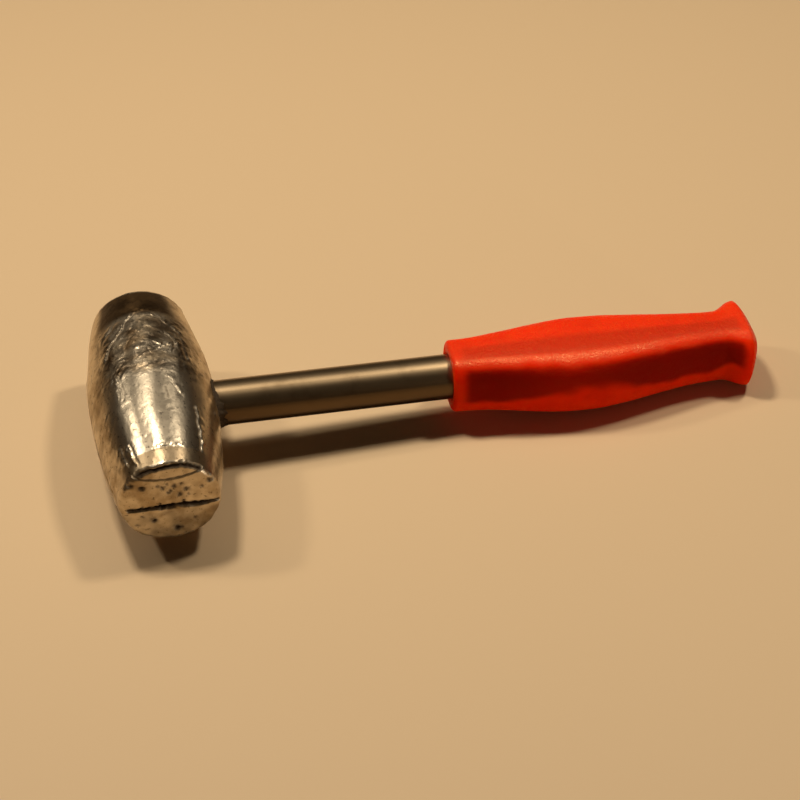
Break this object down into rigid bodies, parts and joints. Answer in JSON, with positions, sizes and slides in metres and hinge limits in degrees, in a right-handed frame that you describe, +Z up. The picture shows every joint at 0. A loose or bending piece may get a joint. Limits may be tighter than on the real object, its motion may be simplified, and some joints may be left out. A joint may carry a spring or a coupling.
{
  "type": "lead hammer",
  "caption": "Soft-faced lead hammer: a cast barrel-shaped lead head with flat round faces on a round steel tube handle with a moulded red vinyl grip.",
  "frame": {"origin": "on the table the hammer lies on, under the middle of its bounding box", "axes": "+X runs from the head to the grip's heel, Y is the striking axis with the near face towards -Y, and +Z is up. The handle dips 2.6 degrees towards the heel, as it lies"},
  "size_m": [0.2864, 0.113, 0.0525],
  "materials": {
    "lead": "cast lead, dull grey where untouched and burnished bright where handled",
    "tube_steel": "satin drawn steel tube",
    "cup_steel": "stamped sheet steel",
    "red_vinyl": "satin moulded vinyl with a fine matt texture"
  },
  "bodies": {
    "root": {"lead_head": "lead", "handle_tube": "tube_steel", "pour_stop": "cup_steel", "grip": "red_vinyl"}
  },
  "joints": []
}
